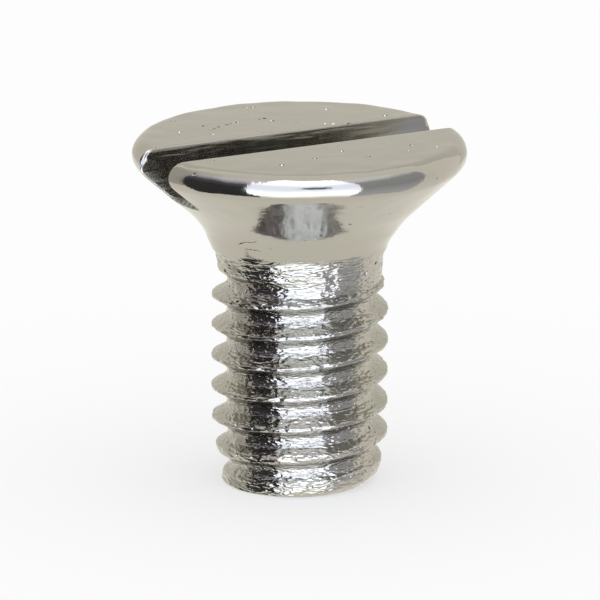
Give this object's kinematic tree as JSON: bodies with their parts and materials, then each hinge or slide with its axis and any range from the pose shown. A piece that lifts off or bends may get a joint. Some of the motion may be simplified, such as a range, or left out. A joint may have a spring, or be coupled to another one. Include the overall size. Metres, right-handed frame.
{
  "type": "slotted countersunk machine screw",
  "caption": "Short slotted countersunk machine screw with a right-hand metric thread, to fasten flush in a countersunk hole.",
  "frame": {"origin": "centre of the flat end of the tip, which the screw stands on", "axes": "+Z along the screw's axis from the tip to the head, +X along the driver slot"},
  "size_m": [0.0074, 0.0074, 0.0078],
  "materials": {
    "plated_steel": "bright zinc plate over forged and rolled steel"
  },
  "bodies": {
    "root": {"screw": "plated_steel"}
  },
  "joints": []
}
